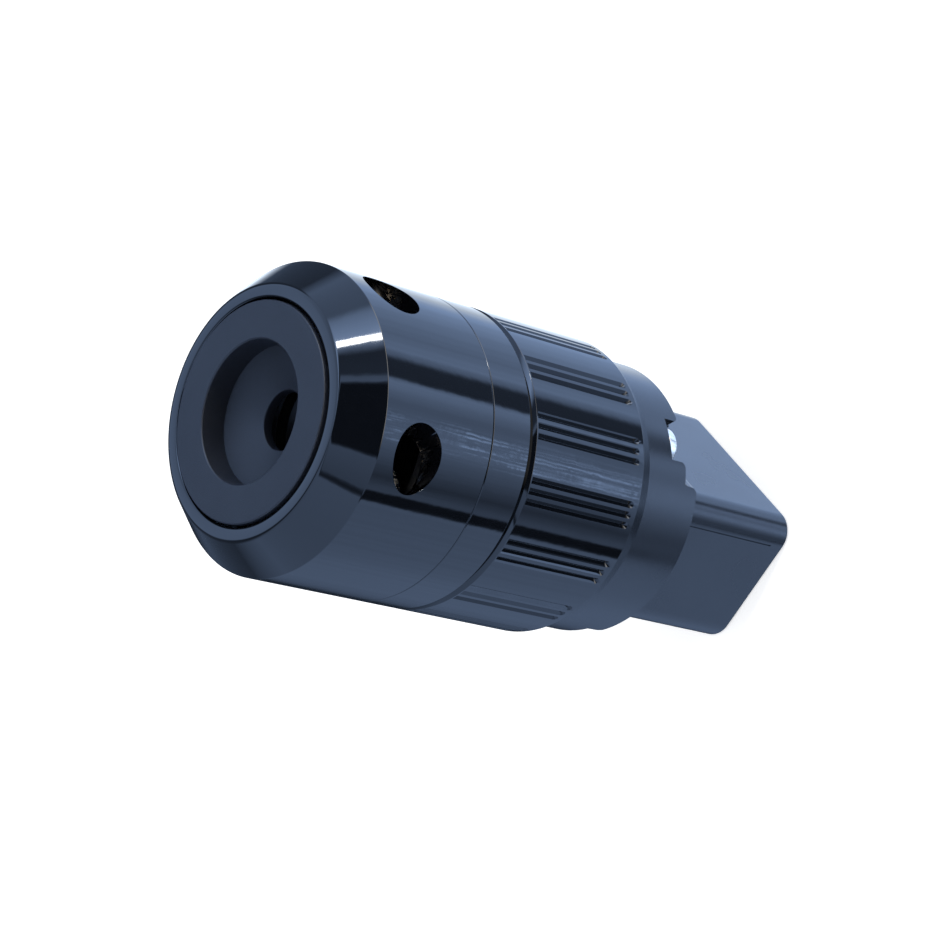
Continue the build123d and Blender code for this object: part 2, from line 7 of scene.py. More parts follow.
# %% Load the frame
import bpy
import json
from math import cos, pi, radians, sin, tan
from mathutils import Matrix, Vector


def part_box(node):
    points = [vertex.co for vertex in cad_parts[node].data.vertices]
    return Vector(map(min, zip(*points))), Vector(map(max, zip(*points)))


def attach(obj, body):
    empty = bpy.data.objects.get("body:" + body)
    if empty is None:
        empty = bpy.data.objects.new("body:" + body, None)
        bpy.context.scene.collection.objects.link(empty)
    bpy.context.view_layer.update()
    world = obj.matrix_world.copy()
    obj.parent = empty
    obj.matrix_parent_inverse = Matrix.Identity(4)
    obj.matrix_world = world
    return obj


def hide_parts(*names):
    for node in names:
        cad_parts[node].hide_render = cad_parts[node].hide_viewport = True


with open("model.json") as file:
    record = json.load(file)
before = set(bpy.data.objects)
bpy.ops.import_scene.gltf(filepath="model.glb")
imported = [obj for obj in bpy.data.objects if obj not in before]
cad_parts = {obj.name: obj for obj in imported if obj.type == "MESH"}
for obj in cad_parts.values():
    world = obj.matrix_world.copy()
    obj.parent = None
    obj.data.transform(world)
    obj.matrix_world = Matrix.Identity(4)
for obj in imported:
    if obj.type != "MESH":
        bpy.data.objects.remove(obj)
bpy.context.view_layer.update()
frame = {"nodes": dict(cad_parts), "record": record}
MM = 0.001
CLOSE = 1e-6       # points nearer than this, in metres, are one place

# %% [markdown]
# Reading sizes off the frame keeps the looks and the construction in step. A node's box gives the ends of
# each ring along the axis and its outer radius, so those numbers are never typed a second time.

# %% Heights and radii from the frame
cap_low, cap_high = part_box("rear_cap")
sleeve_low, sleeve_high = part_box("grip_sleeve")
nose_low, nose_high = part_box("nose_insulator")
bush_low, bush_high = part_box("entry_bush")
reducer_low, reducer_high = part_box("cable_reducer")

BODY_R = cap_high[0]
CAP_BACK_Z = cap_high[2]
BAND_BACK_Z = cap_low[2]
SLEEVE_BACK_Z = sleeve_high[2]
FLANGE_BACK_Z = sleeve_low[2]
SPIGOT_BACK_Z = nose_high[2]
FLANGE_R = nose_high[0]
BUSH_FACE_Z = bush_high[2]
BUSH_FOOT_R = bush_high[0]
REDUCER_R = reducer_high[0]
REDUCER_FRONT_Z = reducer_low[2]
print("body radius", round(BODY_R / MM, 2), "mm, cable end at", round(CAP_BACK_Z / MM, 2), "mm")

# %% [markdown]
# A turned part is easiest to make the way a lathe sees it: one ring of edges at the first point of the
# section, extruded and widened or narrowed from point to point. Sharp corners of the section are first
# rounded with short arcs, because real edges are never knife sharp and the roundings catch the light.

# %% Helpers for turned pieces
TURNED_SEGMENTS = 240
ARC_STEP = radians(18)


def rounded_section(corners):
    """Turns (radius, height, rounding) corners into plain points, each rounding as a short arc."""
    points = []
    for index, (r, z, rounding) in enumerate(corners):
        corner = Vector((r, z))
        if rounding == 0:
            points.append(corner)
            continue
        before = (Vector(corners[index - 1][:2]) - corner).normalized()
        after = (Vector(corners[(index + 1) % len(corners)][:2]) - corner).normalized()
        half_angle = before.angle(after) / 2
        tangent = rounding / tan(half_angle)
        centre = corner + (before + after).normalized() * rounding / sin(half_angle)
        first = corner + before * tangent - centre
        last = corner + after * tangent - centre
        sweep = first.angle_signed(last)
        steps = max(2, round(abs(sweep) / ARC_STEP))
        for step in range(steps + 1):
            turn = Matrix.Rotation(-sweep * step / steps, 2)
            points.append(centre + turn @ first)
    return points


def deselect_all():
    for thing in bpy.context.selected_objects:
        thing.select_set(False)


def make_active(piece):
    deselect_all()
    piece.select_set(True)
    bpy.context.view_layer.objects.active = piece


def turned_piece(name, corners, hollow=True, segments=TURNED_SEGMENTS):
    """A solid of revolution about Z. A hollow one closes on its first ring, a full one gets two end faces."""
    points = rounded_section(corners)
    deselect_all()
    fill = "NOTHING" if hollow else "NGON"
    bpy.ops.mesh.primitive_circle_add(vertices=segments, radius=points[0].x, fill_type=fill,
                                      location=(0, 0, points[0].y))
    piece = bpy.context.object
    piece.name = name
    bpy.ops.object.transform_apply(location=True, rotation=True, scale=True)
    bpy.ops.object.mode_set(mode="EDIT")
    bpy.ops.mesh.select_all(action="SELECT")
    route = points[1:] + points[:1] if hollow else points[1:]
    last = points[0]
    for point in route:
        bpy.ops.mesh.extrude_edges_move(TRANSFORM_OT_translate={"value": (0, 0, point.y - last.y)})
        widen = point.x / last.x
        bpy.ops.transform.resize(value=(widen, widen, 1), center_override=(0, 0, point.y))
        last = point
    if not hollow:
        bpy.ops.mesh.edge_face_add()
    bpy.ops.mesh.select_all(action="SELECT")
    bpy.ops.mesh.remove_doubles(threshold=CLOSE)
    bpy.ops.mesh.normals_make_consistent(inside=False)
    bpy.ops.object.mode_set(mode="OBJECT")
    return piece


# %% [markdown]
# Holes and pockets are cut as a drill or mill would cut them, with a plain block or bar that reaches past
# the piece. Every edge that is left sharp then gets a small rounding.

# %% Helpers for cutting and finishing
SMOOTH_ANGLE = radians(32)
PAST = 1 * MM       # how far a cutter reaches past what it cuts
SHORT_EDGE = 1.0 * MM


def apply_modifier(piece, kind, **settings):
    make_active(piece)
    modifier = piece.modifiers.new(kind.title(), kind)
    for key, value in settings.items():
        setattr(modifier, key, value)
    bpy.ops.object.modifier_apply(modifier=modifier.name)


def combine(piece, other, operation="DIFFERENCE"):
    """Cuts, joins or intersects a piece with another, which is then removed."""
    apply_modifier(piece, "BOOLEAN", operation=operation, solver="EXACT", object=other)
    bpy.data.objects.remove(other, do_unlink=True)


def break_edges(piece, width, angle=SMOOTH_ANGLE, segments=2):
    """Gives every sharp edge a small rounding that catches the light."""
    apply_modifier(piece, "BEVEL", width=width, segments=segments, limit_method="ANGLE", angle_limit=angle,
                   use_clamp_overlap=True, miter_outer="MITER_ARC")


def shade(piece, angle=SMOOTH_ANGLE):
    """Smooth shading in which the large flat faces stay flat and only the small roundings bend the light."""
    make_active(piece)
    bpy.ops.object.shade_smooth_by_angle(angle=angle)
    apply_modifier(piece, "WEIGHTED_NORMAL", keep_sharp=True, weight=100)


def box_piece(name, low, high):
    """A plain block between two corners, as a start or a cutter."""
    deselect_all()
    size = [b - a for a, b in zip(low, high)]
    middle = [(a + b) / 2 for a, b in zip(low, high)]
    bpy.ops.mesh.primitive_cube_add(size=1, location=middle, scale=size)
    block = bpy.context.object
    block.name = name
    bpy.ops.object.transform_apply(location=True, rotation=True, scale=True)
    return block


def rod_piece(name, radius, start, end, vertices=96):
    """A round bar between two points, as a start or a cutter."""
    deselect_all()
    start, end = Vector(start), Vector(end)
    way = end - start
    bpy.ops.mesh.primitive_cylinder_add(vertices=vertices, radius=radius, depth=way.length,
                                        location=(start + end) / 2,
                                        rotation=way.to_track_quat("Z", "Y").to_euler())
    rod = bpy.context.object
    rod.name = name
    bpy.ops.object.transform_apply(location=True, rotation=True, scale=True)
    return rod


def joined(name, pieces):
    """One object from several."""
    make_active(pieces[0])
    for piece in pieces[1:]:
        piece.select_set(True)
    bpy.ops.object.join()
    whole = bpy.context.object
    whole.name = name
    return whole


def turned_about_z(piece, angle):
    """Turns a mesh about the axis and keeps the object itself unturned."""
    piece.data.transform(Matrix.Rotation(angle, 4, "Z"))
    return piece


def bevel_edges_where(piece, wanted, width, segments):
    """Rounds the edges that a test on their two ends picks out."""
    make_active(piece)
    bpy.ops.object.mode_set(mode="EDIT")
    bpy.ops.mesh.select_mode(type="EDGE")
    bpy.ops.mesh.select_all(action="DESELECT")
    bpy.ops.object.mode_set(mode="OBJECT")
    for edge in piece.data.edges:
        a, b = (piece.data.vertices[v].co for v in edge.vertices)
        edge.select = wanted(a, b)
    bpy.ops.object.mode_set(mode="EDIT")
    bpy.ops.mesh.bevel(offset=width, segments=segments, affect="EDGES")
    bpy.ops.object.mode_set(mode="OBJECT")


def merge_close(piece, distance):
    """Merges points that a cut left almost on top of one another."""
    make_active(piece)
    bpy.ops.object.mode_set(mode="EDIT")
    bpy.ops.mesh.select_all(action="SELECT")
    bpy.ops.mesh.remove_doubles(threshold=distance)
    bpy.ops.object.mode_set(mode="OBJECT")


def upright(a, b):
    """Whether an edge runs along Z."""
    return abs(a.z - b.z) > SHORT_EDGE


# %% [markdown]
# The clamp, its two side holes and the long screws stand square to one another, but are turned about the
# axis from the rectangular nose. One small function places a point from that turned frame.

# %% The clamp's turned frame
CLAMP_ANGLE = radians(60)
CLAMP_TURN = CLAMP_ANGLE - pi / 2
CLAMP_Z = CAP_BACK_Z - 10.8 * MM
CLAMP_SCREW_INSET = 5.65 * MM


def clamp_point(x, y, z):
    return Matrix.Rotation(CLAMP_TURN, 3, "Z") @ Vector((x, y, z))


# %% [markdown]
# The rear cap is the piece that shows most. Its section has a softly rolled rim, a wide straight bevel and
# a long plain side. The bevel's outer edge is almost sharp, so it draws one thin bright line.

# %% Rear cap
SHELL_BORE_R = BODY_R - 2.0 * MM
CAP_CAVITY_R = BODY_R - 3.2 * MM
CLAMP_SCREW_HALF = CAP_CAVITY_R - CLAMP_SCREW_INSET
RIM_R = BODY_R - 3.85 * MM
RIM_BORE_R = RIM_R - 1.8 * MM
CAP_BEVEL_LENGTH = 4.65 * MM
END_WALL_Z = CAP_BACK_Z - 5.0 * MM
CAVITY_FRONT_Z = CLAMP_Z - 3.8 * MM
SEAM = 0.16 * MM
CLAMP_HOLE_R = 3.67 * MM
SADDLE_EAR_TOP = 8.4 * MM

rear_cap = turned_piece("cap_shell", [
    (SHELL_BORE_R, BAND_BACK_Z, 0),
    (BODY_R, BAND_BACK_Z, SEAM),
    (BODY_R, CAP_BACK_Z - CAP_BEVEL_LENGTH, 0.25 * MM),
    (RIM_R, CAP_BACK_Z, 0.75 * MM),
    (RIM_BORE_R, CAP_BACK_Z, 0.4 * MM),
    (RIM_BORE_R, END_WALL_Z, 0),
    (CAP_CAVITY_R, END_WALL_Z, 0),
    (CAP_CAVITY_R, CAVITY_FRONT_Z, 0),
    (SHELL_BORE_R, CAVITY_FRONT_Z, 0),
])
hole_cutters = []
for side in (-1, 1):
    x = side * CLAMP_SCREW_HALF
    inner, outer = clamp_point(x, SADDLE_EAR_TOP, CLAMP_Z), clamp_point(x, BODY_R + PAST, CLAMP_Z)
    hole_cutters.append(rod_piece("hole_cutter", CLAMP_HOLE_R, inner, outer))
combine(rear_cap, joined("hole_cutters", hole_cutters))
merge_close(rear_cap, 0.04 * MM)
break_edges(rear_cap, 0.09 * MM, angle=radians(40), segments=3)
shade(rear_cap)
print("cap faces:", len(rear_cap.data.polygons))

# %% [markdown]
# The ring between cap and sleeve is plain and carries nothing. Its two ends matter more than its face: a
# hairline seam against the cap, and one flank of the V groove against the sleeve.

# %% Plain ring
GROOVE_HALF = 0.6 * MM
GROOVE_DEPTH = 0.8 * MM

plain_ring = turned_piece("plain_ring", [
    (SHELL_BORE_R, SLEEVE_BACK_Z, 0),
    (BODY_R - GROOVE_DEPTH, SLEEVE_BACK_Z, 0),
    (BODY_R, SLEEVE_BACK_Z + GROOVE_HALF, 0.1 * MM),
    (BODY_R, BAND_BACK_Z, SEAM),
    (SHELL_BORE_R, BAND_BACK_Z, 0),
])
shade(plain_ring)

# %% [markdown]
# The grip sleeve has fifteen groups of three flutes. Seen from straight above a flute is black, and from the
# side its far face is as light as the shell. That is how a sharp V behaves, cut by a pointed mill that
# leaves half a cone at the end of its run. So each cutter is a cone, drawn out along the sleeve. Every one is
# a single closed block, because a cut with many of them is only clean if none reaches into another.

# %% Grip sleeve
SLEEVE_NOSE_R = 18.55 * MM
SLEEVE_BEVEL_LENGTH = 2.8 * MM
SLEEVE_LIP_R = 17.05 * MM
SEAM_GAP = 0.15 * MM       # a hairline before the flange, which the solids don't have
FLUTE_GROUPS = 15
FLUTES_PER_GROUP = 3
FLUTE_STEP = radians(3.95)
FLUTE_WIDTH = 0.92 * MM
FLUTE_DEPTH = 0.56 * MM
FLUTE_POINT_R = 0.01 * MM
FLUTE_ABOVE = 0.15 * MM       # how far the cone stands out of the shell
ON_AXIS = 1e-8
FLUTE_BACK_Z = SLEEVE_BACK_Z - GROOVE_HALF - 0.2 * MM
FLUTE_FRONT_Z = FLANGE_BACK_Z + SLEEVE_BEVEL_LENGTH + 0.85 * MM

sleeve = turned_piece("fluted_grip", [
    (SLEEVE_LIP_R, FLANGE_BACK_Z + SEAM_GAP, 0),
    (SLEEVE_NOSE_R, FLANGE_BACK_Z + SEAM_GAP, 0.05 * MM),
    (BODY_R, FLANGE_BACK_Z + SLEEVE_BEVEL_LENGTH, 0.3 * MM),
    (BODY_R, SLEEVE_BACK_Z - GROOVE_HALF, 0.1 * MM),
    (BODY_R - GROOVE_DEPTH, SLEEVE_BACK_Z, 0),
    (SHELL_BORE_R, SLEEVE_BACK_Z, 0),
    (SHELL_BORE_R, SPIGOT_BACK_Z, 0),
    (SLEEVE_LIP_R, SPIGOT_BACK_Z, 0),
])


def flute_cutter(angle):
    """One flute, made on the +X side and turned: a cone whose back half is moved to the flute's back end."""
    half = FLUTE_WIDTH / 2
    bpy.ops.mesh.primitive_cone_add(vertices=24, radius1=FLUTE_POINT_R,
                                    radius2=half * (1 + FLUTE_ABOVE / FLUTE_DEPTH),
                                    depth=FLUTE_DEPTH + FLUTE_ABOVE, rotation=(0, pi / 2, 0))
    cone = bpy.context.object
    cone.name = "flute_cone"
    bpy.ops.object.transform_apply(location=True, rotation=True, scale=True)
    for vertex in cone.data.vertices:
        vertex.co.x += BODY_R + FLUTE_ABOVE - (FLUTE_DEPTH + FLUTE_ABOVE) / 2
        if vertex.co.z > ON_AXIS:
            vertex.co.z = FLUTE_BACK_Z
        else:
            vertex.co.z += FLUTE_FRONT_Z + half
    return turned_about_z(cone, angle)


flutes = []
for group in range(FLUTE_GROUPS):
    for number in range(FLUTES_PER_GROUP):
        offset = (number - (FLUTES_PER_GROUP - 1) / 2) * FLUTE_STEP
        flutes.append(flute_cutter(2 * pi * group / FLUTE_GROUPS + offset))
combine(sleeve, joined("flute_cutters", flutes))
break_edges(sleeve, 0.04 * MM, angle=radians(34))
shade(sleeve)
print("sleeve faces:", len(sleeve.data.polygons))

# %% [markdown]
# The nose is one satin moulding: a round flange whose front steps down on two sides, and a boss with rounded
# corners. A turned blank is crossed with a stepped bar of two blocks. The long step edges are rounded while
# they are still straight. A ring-shaped cutter takes a small slope off the plateau's outer edge.

# %% Nose blank
FLANGE_FRONT_Z = 21.1 * MM
LAND_Z = 23.6 * MM
PLATEAU_HALF = 12.1 * MM
PLATEAU_ROUND = 1.2 * MM
LAND_ROUND = 0.8 * MM
FLANGE_EDGE = 0.28 * MM
SPIGOT_R = 17.0 * MM
PLATEAU_INSET = 0.5 * MM


def stepped_bar():
    """The flange's front seen along X, a plateau between two lands, drawn out wider than the flange."""
    bar = box_piece("stepped_bar", (-BODY_R, -BODY_R, LAND_Z), (BODY_R, BODY_R, SPIGOT_BACK_Z + PAST))
    reach = BODY_R - PLATEAU_INSET
    plateau = box_piece("plateau", (-reach, -PLATEAU_HALF, FLANGE_FRONT_Z),
                        (reach, PLATEAU_HALF, LAND_Z + PAST))
    combine(bar, plateau, "UNION")

    def step_edge(z):
        def wanted(a, b):
            if abs(a.x - b.x) < BODY_R or abs(a.z - z) > CLOSE:
                return False
            return abs(abs(a.y) - PLATEAU_HALF) < CLOSE
        return wanted

    bevel_edges_where(bar, step_edge(FLANGE_FRONT_Z), PLATEAU_ROUND, 6)
    bevel_edges_where(bar, step_edge(LAND_Z), LAND_ROUND, 5)
    return bar


def rim_cutter():
    """A ring that takes a small slope off the plateau's outer edge."""
    return turned_piece("rim_cutter", [
        (FLANGE_R - 2 * FLANGE_EDGE, FLANGE_FRONT_Z - FLANGE_EDGE, 0),
        (FLANGE_R + PAST, FLANGE_FRONT_Z - FLANGE_EDGE, 0),
        (FLANGE_R + PAST, FLANGE_FRONT_Z + FLANGE_EDGE + PAST, 0),
    ])


nose = turned_piece("nose_moulding", [
    (FLANGE_R, FLANGE_FRONT_Z - PAST, 0),
    (FLANGE_R, FLANGE_BACK_Z, 0),
    (SPIGOT_R, FLANGE_BACK_Z, 0),
    (SPIGOT_R, SPIGOT_BACK_Z, 0),
], hollow=False)
combine(nose, stepped_bar(), "INTERSECT")
combine(nose, rim_cutter())

# %% [markdown]
# The boss is a block with four rounded corners. A mould that parts where those corners begin leaves a fine
# line on each end face. It is a hair wider at the flange, so its cutter is too.

# %% Boss
BOSS_WIDTH = 28.5 * MM
BOSS_HEIGHT = 20.4 * MM
BOSS_CORNER_R = 3.3 * MM
BOSS_EDGE_ROUND = 0.4 * MM
BOSS_ROOT = 2 * MM
PARTING_LINE_WIDTH = 0.26 * MM
PARTING_LINE_DEPTH = 0.15 * MM
PARTING_LINE_END = 2.5 * MM
PARTING_LINE_INSET = 0.15 * MM
PARTING_LINE_TAPER = 0.7


def parting_line(side):
    """A groove on one end face, from near the mating face into the flange."""
    middle = BOSS_HEIGHT / 2 - BOSS_CORNER_R - PARTING_LINE_INSET
    depths = sorted((side * (BOSS_WIDTH / 2 - PARTING_LINE_DEPTH), side * (BOSS_WIDTH / 2 + PAST)))
    low, high = middle - PARTING_LINE_WIDTH / 2, middle + PARTING_LINE_WIDTH / 2
    groove = box_piece("parting_line", (depths[0], low, PARTING_LINE_END),
                       (depths[1], high, FLANGE_FRONT_Z + PAST))
    for vertex in groove.data.vertices:
        if vertex.co.z < FLANGE_FRONT_Z:
            vertex.co.y = middle + (vertex.co.y - middle) * PARTING_LINE_TAPER
    return groove


def boss_block():
    half_x, half_y = BOSS_WIDTH / 2, BOSS_HEIGHT / 2
    block = box_piece("boss", (-half_x, -half_y, 0), (half_x, half_y, FLANGE_FRONT_Z + BOSS_ROOT))
    bevel_edges_where(block, upright, BOSS_CORNER_R, 14)
    bevel_edges_where(block, lambda a, b: max(a.z, b.z) < CLOSE, BOSS_EDGE_ROUND, 4)
    for side in (-1, 1):
        combine(block, parting_line(side))
    return block


combine(nose, boss_block(), "UNION")

# %% [markdown]
# Two U-shaped pockets sink the long screws' heads, with their mouths flared onto the land. The three pin
# slots have a bevelled lead-in and open into wider chambers, so the screws and contacts stand in real space.

# %% Pockets and slots of the nose
LONG_SCREW_RADIUS = FLANGE_R - 2.8 * MM
LONG_SCREW_HOLE_R = 1.7 * MM
POCKET_R = 3.0 * MM
POCKET_Z = FLANGE_FRONT_Z + 5.05 * MM
MOUTH_ROUND = 0.8 * MM
MOUTH_DEPTH = 1.8 * MM
MOUTH_OVERSIZE = 1.02
PIN_PLACES = {"line": (-6.5 * MM, -4.0 * MM), "neutral": (6.5 * MM, -4.0 * MM), "earth": (0.0, 4.0 * MM)}
SLOT_HALF = (3.0 * MM, 1.3 * MM)
CHAMBER_HALF = (2.95 * MM, 2.8 * MM)
SLOT_WALL = 2.2 * MM
SLOT_LEAD_IN = 0.5 * MM
SLOTS_REACH = (10 * MM, 6 * MM)


def screw_pocket():
    """A U-shaped pocket on the +Y side, round towards the middle and open to the outside."""
    inner = LONG_SCREW_RADIUS - POCKET_R
    pocket = box_piece("pocket", (-POCKET_R, inner, FLANGE_FRONT_Z - PAST), (POCKET_R, BODY_R, POCKET_Z))
    bevel_edges_where(pocket, lambda a, b: upright(a, b) and a.y < inner + CLOSE, POCKET_R, 16)
    merge_close(pocket, 0.002 * MM)
    return pocket


def pocket_mouth():
    """A slab over the pocket's mouth, hollowed on each side so that it leaves a rounded corner."""
    half, top = POCKET_R + MOUTH_ROUND, LAND_Z + MOUTH_ROUND
    mouth = box_piece("mouth", (-half, FLANGE_R - MOUTH_DEPTH, LAND_Z - PAST), (half, BODY_R, top))
    for side in (-1, 1):
        start, end = (side * half, 0, top), (side * half, BODY_R + PAST, top)
        combine(mouth, rod_piece("corner", MOUTH_OVERSIZE * MOUTH_ROUND, start, end, 48))
    return mouth


def screw_hole():
    return rod_piece("screw_hole", LONG_SCREW_HOLE_R, (0, LONG_SCREW_RADIUS, LAND_Z + PAST),
                     (0, LONG_SCREW_RADIUS, SPIGOT_BACK_Z + PAST))


def pin_cutter(x, y):
    """The slot and the chamber behind it."""
    slot = box_piece("slot", (x - SLOT_HALF[0], y - SLOT_HALF[1], -PAST),
                     (x + SLOT_HALF[0], y + SLOT_HALF[1], SLOT_WALL + PAST))
    chamber = box_piece("chamber", (x - CHAMBER_HALF[0], y - CHAMBER_HALF[1], SLOT_WALL),
                        (x + CHAMBER_HALF[0], y + CHAMBER_HALF[1], SPIGOT_BACK_Z + PAST))
    combine(slot, chamber, "UNION")
    return slot


def slot_rim(a, b):
    """The edges of the three slots on the mating face."""
    reach_x = max(abs(a.x), abs(b.x))
    reach_y = max(abs(a.y), abs(b.y))
    return max(a.z, b.z) < CLOSE and reach_x < SLOTS_REACH[0] and reach_y < SLOTS_REACH[1]


for turn in (0, pi):
    for cutter in (screw_pocket, pocket_mouth, screw_hole):
        combine(nose, turned_about_z(cutter(), CLAMP_TURN + turn))
for x, y in PIN_PLACES.values():
    combine(nose, pin_cutter(x, y))
merge_close(nose, 0.03 * MM)
bevel_edges_where(nose, slot_rim, SLOT_LEAD_IN, 1)
break_edges(nose, 0.1 * MM, angle=radians(40))
shade(nose, radians(28))
print("nose faces:", len(nose.data.polygons))

# %% [markdown]
# The entry bush and the dished disc behind it are matt mouldings. They are turned like the shell, with
# softer edges. The disc's dish is what gives the mouth its depth.

# %% Entry bush and reducer disc
BUSH_R = RIM_BORE_R - 0.3 * MM
BUSH_BORE_R = 9.1 * MM
LEDGE_Z = BUSH_FACE_Z - 3.6 * MM
REDUCER_HOLE_R = 3.8 * MM

entry_bush = turned_piece("mouth_bush", [
    (BUSH_BORE_R, LEDGE_Z, 0),
    (REDUCER_R + 0.05 * MM, LEDGE_Z, 0),
    (REDUCER_R + 0.05 * MM, bush_low[2], 0),
    (BUSH_FOOT_R, bush_low[2], 0),
    (BUSH_FOOT_R, END_WALL_Z, 0),
    (BUSH_R, END_WALL_Z, 0),
    (BUSH_R, BUSH_FACE_Z, 0.2 * MM),
    (BUSH_BORE_R, BUSH_FACE_Z, 0.25 * MM),
])
shade(entry_bush)
reducer = turned_piece("dished_disc", [
    (REDUCER_HOLE_R, REDUCER_FRONT_Z, 0.15 * MM),
    (REDUCER_R, REDUCER_FRONT_Z, 0),
    (REDUCER_R, LEDGE_Z, 0),
    (BUSH_BORE_R, LEDGE_Z, 0.6 * MM),
    (REDUCER_HOLE_R, LEDGE_Z - 2.1 * MM, 0.2 * MM),
])
shade(reducer)

# %% [markdown]
# The part has seven screws. The four that can be reached from outside are pan heads: a low dome with a
# cross cut in it. One function turns the head and shank as a single section, cuts the cross
# with two tapered bars, and lays the screw along its own axis.

# %% Pan head screws
CROSS_SPAN = 2.9 * MM
CROSS_WIDTH = 0.75 * MM
CROSS_DEPTH = 1.0 * MM
SCREW_SEGMENTS = 96
CROSS_FOOT = (0.45, 0.7)       # the recess's bottom, as a share of its span and width
HEAD_SHOULDER = 0.55
HEAD_CROWN = 0.65
# Head radius, head height, shank radius, shank length
LONG_SCREW = (2.75 * MM, 2.4 * MM, 1.5 * MM, 26 * MM)
JAW_SCREW = (3.3 * MM, 2.2 * MM, 2.0 * MM, 15.3 * MM)


def cross_cutter(top):
    """Two crossed bars, narrower at the bottom, as a driver bit is."""
    bars = []
    for turn in (0, pi / 2):
        bar = box_piece("cross_bar", (-CROSS_SPAN / 2, -CROSS_WIDTH / 2, top - CROSS_DEPTH),
                        (CROSS_SPAN / 2, CROSS_WIDTH / 2, top + CROSS_DEPTH))
        for vertex in bar.data.vertices:
            if vertex.co.z < top:
                vertex.co.x *= CROSS_FOOT[0]
                vertex.co.y *= CROSS_FOOT[1]
        bars.append(turned_about_z(bar, turn))
    combine(bars[0], bars[1], "UNION")
    return bars[0]


def pan_screw(name, sizes, seat, way, twist):
    """A pan head screw whose head's underside is at seat and whose head points along way."""
    head_r, head_height, shank_r, shank_length = sizes
    shoulder, crown_r = HEAD_SHOULDER * head_height, HEAD_CROWN * head_r
    screw = turned_piece(name, [
        (shank_r * 0.8, -shank_length, 0),
        (shank_r, -shank_length + shank_r * 0.2, 0),
        (shank_r, 0, 0),
        (head_r, 0, 0.15 * MM),
        (head_r, shoulder, 0.35 * MM),
        (crown_r, head_height, 0.9 * MM),
        (head_r * 0.2, head_height, 0),
    ], hollow=False, segments=SCREW_SEGMENTS)
    combine(screw, cross_cutter(head_height))
    break_edges(screw, 0.04 * MM, angle=radians(45))
    screw.data.transform(Matrix.Rotation(twist, 4, "Z"))
    screw.data.transform(Vector(way).to_track_quat("Z", "Y").to_matrix().to_4x4())
    screw.data.transform(Matrix.Translation(seat))
    shade(screw)
    return screw


outward = clamp_point(0, 1, 0)
screws = {}
for name, side, twist in (("upper", 1, 20), ("lower", -1, 65)):
    seat = clamp_point(0, side * LONG_SCREW_RADIUS, POCKET_Z)
    screws["assembly_screw_" + name] = pan_screw("long_screw_" + name, LONG_SCREW, seat, (0, 0, -1),
                                                 radians(twist))
for name, side, twist in (("left", -1, 35), ("right", 1, 10)):
    seat = clamp_point(side * CLAMP_SCREW_HALF, SADDLE_EAR_TOP, CLAMP_Z)
    screws["clamp_screw_" + name] = pan_screw("jaw_screw_" + name, JAW_SCREW, seat, outward, radians(twist))

# %% [markdown]
# Each piece is now put on the body it rides on, and the node that it stands for is hidden. Finishes follow
# later.

# %% Ride and replace
for piece, node in ((rear_cap, "rear_cap"), (plain_ring, "marking_band"), (sleeve, "grip_sleeve"),
                    (nose, "nose_insulator"), (entry_bush, "entry_bush"), (reducer, "cable_reducer")):
    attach(piece, "shell")
    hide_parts(node)
for node, piece in screws.items():
    body = "shell"
    if node.startswith("clamp"):
        body = node.replace("clamp_screw_", "") + "_clamp_screw"
    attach(piece, body)
    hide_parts(node)

# %% [markdown]
# Black plastic is nearly all reflection. Its own colour is close to black, and what the eye reads as shape
# is the room mirrored in it. So the gloss shell gets a near black base, the plain reflection of plastic and a
# trace of waviness. The nose is the same plastic with a finer, duller skin, and the bush is properly matt.

# %% Material helpers
def new_material(name):
    material = bpy.data.materials.new(name)
    material.use_nodes = True
    shader = material.node_tree.nodes["Principled BSDF"]
    return material, material.node_tree, shader


def noise(tree, scale, detail=2.0, stretch=(1, 1, 1)):
    """Noise in the piece's own metres, stretched if wanted."""
    place = tree.nodes.new("ShaderNodeTexCoord")
    mapping = tree.nodes.new("ShaderNodeMapping")
    mapping.inputs["Scale"].default_value = stretch
    texture = tree.nodes.new("ShaderNodeTexNoise")
    texture.inputs["Scale"].default_value = scale
    texture.inputs["Detail"].default_value = detail
    tree.links.new(place.outputs["Object"], mapping.inputs["Vector"])
    tree.links.new(mapping.outputs["Vector"], texture.inputs["Vector"])
    return texture.outputs["Fac"]


def spread(tree, value, low, high):
    """Maps noise to a range."""
    node = tree.nodes.new("ShaderNodeMapRange")
    node.inputs["From Min"].default_value = 0.3
    node.inputs["From Max"].default_value = 0.7
    node.inputs["To Min"].default_value = low
    node.inputs["To Max"].default_value = high
    tree.links.new(value, node.inputs["Value"])
    return node.outputs["Result"]


def bump(tree, value, distance):
    node = tree.nodes.new("ShaderNodeBump")
    node.inputs["Distance"].default_value = distance
    node.inputs["Strength"].default_value = 1.0
    tree.links.new(value, node.inputs["Height"])
    return node.outputs["Normal"]


def blend_colours(tree, value, first, second):
    node = tree.nodes.new("ShaderNodeMix")
    node.data_type = "RGBA"
    node.inputs["A"].default_value = (*first, 1)
    node.inputs["B"].default_value = (*second, 1)
    tree.links.new(value, node.inputs["Factor"])
    return node.outputs["Result"]


# %% [markdown]
# Each finish is a short function. The plastics share one refractive index and differ in how smooth they are
# and in the grain of the mould. The two metals differ in colour and polish.

# %% Materials
PLASTIC_IOR = 1.5


